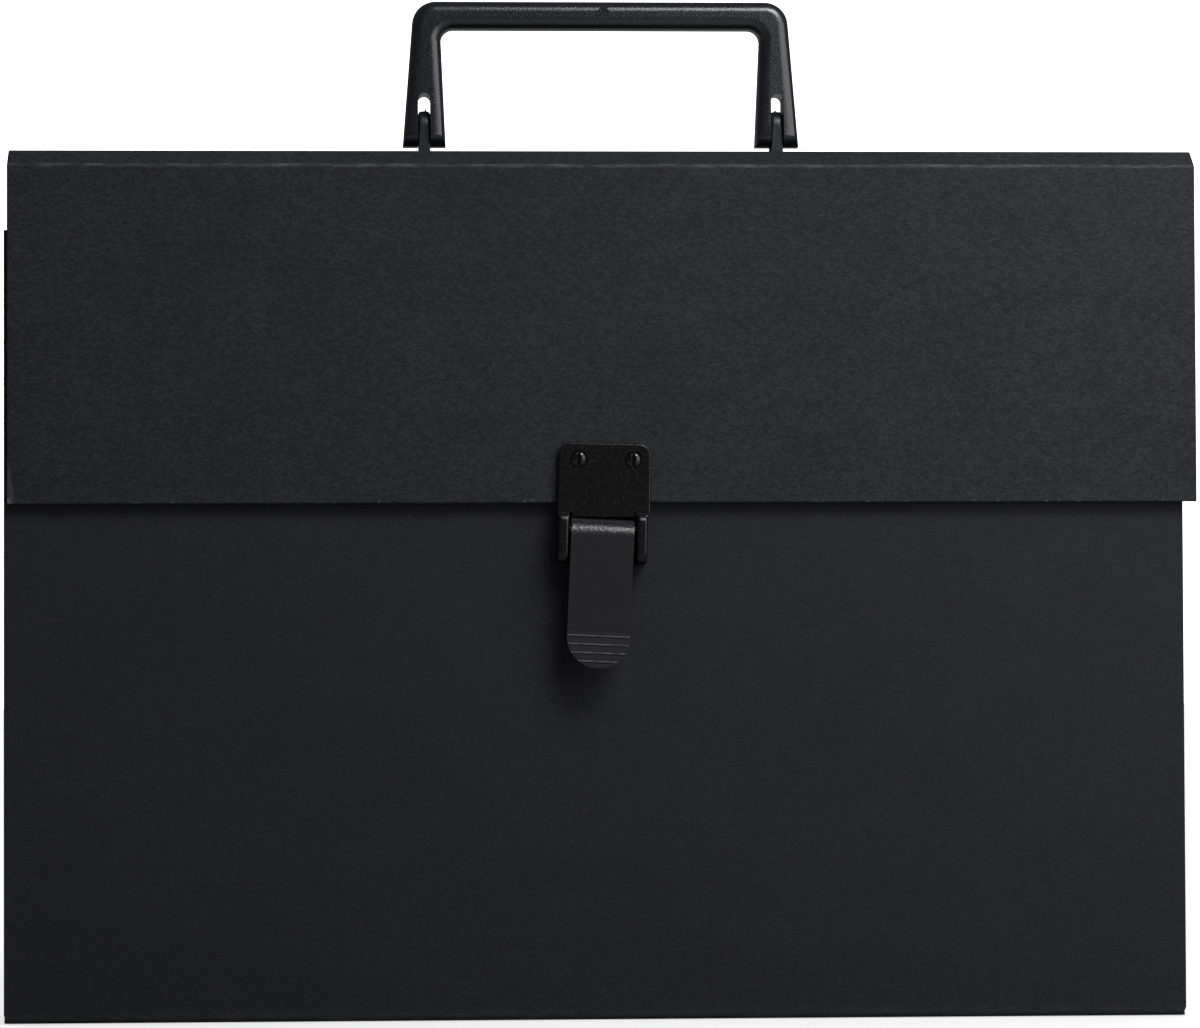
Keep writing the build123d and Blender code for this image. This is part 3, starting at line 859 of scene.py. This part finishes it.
def half_head(side):
    """One half of a stud's head and shank in millimetres, split by an upright slot, facing -Y."""
    dome = ((1, 0), (1, 0.3), (0.94, 0.55), (0.8, 0.78), (0.6, 0.93), (0.35, 1.02), (0.12, 1.05))
    rounds = [(SHANK_R, -SHANK_DEEP), (SHANK_R, 0)] + [(STUD_R * share, height) for share, height in dome]
    half = bmesh.new()
    count = 40
    turns = [math.tau * k / count for k in range(count)]
    rings = [[half.verts.new((r * math.cos(t), -height, r * math.sin(t))) for t in turns]
             for r, height in rounds]
    for low, high in zip(rings, rings[1:]):
        for k in range(count):
            half.faces.new((low[k], low[(k + 1) % count], high[(k + 1) % count], high[k]))
    half.faces.new(rings[-1])
    half.faces.new(rings[0][::-1])
    cut_away(half, (side * STUD_SPLIT / 2, 0, 0), (-side, 0, 0))
    bmesh.ops.recalc_face_normals(half, faces=half.faces)
    round_edges(half, keen_edges(half, 45), 0.12, 2)
    return half


def split_heads(name, face_y):
    """The latch's domed stud heads on their shanks."""
    bm = bmesh.new()
    for x, z in stud_places:
        place = Matrix.Translation((x, face_y, z)) @ Matrix.Rotation(math.radians(LATCH_TURN), 4, "Y")
        for side in (-1, 1):
            half = half_head(side)
            half.transform(Matrix.Scale(MM, 4) @ place)
            mesh = bpy.data.meshes.new("half")
            half.to_mesh(mesh)
            half.free()
            bm.from_mesh(mesh)
            bpy.data.meshes.remove(mesh)
    obj = bmesh_object(name, bm, 35)
    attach(obj, "flap")
    return obj


plate = moulding("latch_plate_moulding", "latch_plate", "flap", 0.28, 3, corners=lug_side, large=0.9,
                 fine=ring_edge)
backing = moulding("latch_backing_moulding", "latch_backing", "flap", 0.14,
                   cut=PLATE_Y + STUD_SEAT + SHANK_DEEP)
heads = split_heads("latch_stud_heads", PLATE_Y + STUD_SEAT)
lever = moulding("latch_lever_moulding", "latch_lever", "lever", 0.22, 3, before=plain_lever,
                 after=add_ridges, smooth=8)
grip = moulding("handle_grip_moulding", "handle_grip", "handle", 0.4, 3, before=square_feet)
loop_left = moulding("handle_loop_left_moulding", "handle_loop_left", "lid", 0.3, corners=strap_side,
                     after=flash(FLASH_LEFT, 0.35, 0.8))
loop_right = moulding("handle_loop_right_moulding", "handle_loop_right", "lid", 0.3, corners=strap_side,
                      after=flash(FLASH_RIGHT, 0.4, 0.6))
for piece, material, slot in (
        (plate, latch_plastic, "latch_plastic"), (backing, latch_plastic, "latch_plastic"),
        (heads, stud_plastic, "latch_plastic"), (lever, lever_plastic, "lever_plastic"),
        (grip, handle_plastic, "handle_plastic"),
        (loop_left, loop_plastic, "handle_plastic"), (loop_right, loop_plastic, "handle_plastic")):
    dress(piece, material)

# Carried-over nodes
finish_of = {
    "handle_backing_left": handle_plastic, "handle_backing_right": handle_plastic,
    "catch_block": latch_plastic, "catch_backing": latch_plastic, "latch_pin": steel,
}
for number in range(1, POCKETS):
    finish_of[f"divider_{number}"] = card
    finish_of[f"index_label_{number}"] = label_paper
for name, material in finish_of.items():
    dress(nodes[name], material)

# Floor: white to the camera further out, with the folder's shadow near it
floor_material, surface, g = new_material("pale_floor", (0.85, 0.85, 0.85), 0.9, 0.1)
glow = g.node("ShaderNodeEmission")
glow.inputs["Color"].default_value = (1, 1, 1, 1)
camera_ray, glossy_ray, mirrored = g.rays()
g.link(g.mix(camera_ray, (0.25, 0.25, 0.25), (0.85, 0.85, 0.85)), surface.inputs["Base Color"])
spot = g.node("ShaderNodeTexCoord").outputs["Object"]
near_white = g.spread(g.length(g.stretch(spot, (1, 1, 0))), 0.15, 0.7, 0.6, 1.0)
behind = g.spread(g.axis(spot, "Y"), 0.2, 0.9, 0, MIRRORED)
white = g.math("MAXIMUM", g.times(camera_ray, near_white), g.times(mirrored, behind))
floor_mix = g.node("ShaderNodeMixShader")
g.link(white, floor_mix.inputs[0])
g.link(surface.outputs[0], floor_mix.inputs[1])
g.link(glow.outputs[0], floor_mix.inputs[2])
g.link(floor_mix.outputs[0], floor_material.node_tree.nodes["Material Output"].inputs["Surface"])
FLOOR_HALF = 9000
corners = [(x * FLOOR_HALF, y * FLOOR_HALF, 0) for x, y in ((-1, -1), (1, -1), (1, 1), (-1, 1))]
floor = mesh_object("floor", corners, [(0, 1, 2, 3)])
floor.location.z = -0.2 * MM
dress(floor, floor_material)

# Sky: white to the camera, pale behind the folder in reflections, and else a dim room, brighter to the rear
world = bpy.data.worlds.new("studio")
bpy.context.scene.world = world
world.use_nodes = True
g = Graph(world.node_tree)
sky = world.node_tree.nodes["Background"]
sky.inputs["Color"].default_value = (1, 1, 1, 1)
toward = g.axis(g.node("ShaderNodeTexCoord").outputs["Generated"], "Y")
camera_ray, glossy_ray, mirrored = g.rays()
white = g.math("MAXIMUM", camera_ray, g.times(mirrored, g.spread(toward, 0.55, 0.9, 0, MIRRORED)))
matt = g.times(g.less(1.0, glossy_ray), g.spread(toward, -0.2, 0.8, ROOM, REAR))
room = g.math("MAXIMUM", matt, ROOM / 2)
g.link(g.math("MAXIMUM", white, room), sky.inputs["Strength"])

# Lamps


def softbox(name, place, target, width, height, watts):
    lamp = bpy.data.lights.new(name, "AREA")
    lamp.shape = "RECTANGLE"
    lamp.size, lamp.size_y = width, height
    lamp.energy = watts
    obj = bpy.data.objects.new(name, lamp)
    obj.location = place
    obj.rotation_euler = (Vector(target) - Vector(place)).to_track_quat("-Z", "Y").to_euler()
    bpy.context.scene.collection.objects.link(obj)


softbox("side", (0.36, -0.36, 0.32), (0.07, -0.02, 0.14), 0.44, 0.44, 1.4)
softbox("top", (0.31, -0.54, 0.8), (0.07, -0.02, 0.18), 0.46, 0.3, 6.6)

# Camera, as fitted to the photograph
EYE = (-0.0715, -1.4, 0.1023)
YAW, PITCH, ROLL = (math.radians(a) for a in (3.0, 1.69, -0.223))
FOCAL_PIXELS = 4876
IMAGE_WIDTH = 1200
SENSOR_WIDTH = 36
forward = Vector((math.sin(YAW) * math.cos(PITCH), math.cos(YAW) * math.cos(PITCH), math.sin(PITCH)))
level = Vector((math.cos(YAW), -math.sin(YAW), 0))
above = level.cross(forward)
right = level * math.cos(ROLL) + above * math.sin(ROLL)
up = above * math.cos(ROLL) - level * math.sin(ROLL)
lens = bpy.data.cameras.new("camera")
lens.sensor_width = SENSOR_WIDTH
lens.lens = FOCAL_PIXELS / IMAGE_WIDTH * SENSOR_WIDTH
lens.clip_end = 50
camera = bpy.data.objects.new("camera", lens)
facing = Matrix((right, up, -forward)).transposed().to_4x4()
camera.matrix_world = Matrix.Translation(EYE) @ facing
bpy.context.scene.collection.objects.link(camera)
bpy.context.scene.camera = camera
bpy.context.scene.view_settings.view_transform = "Standard"
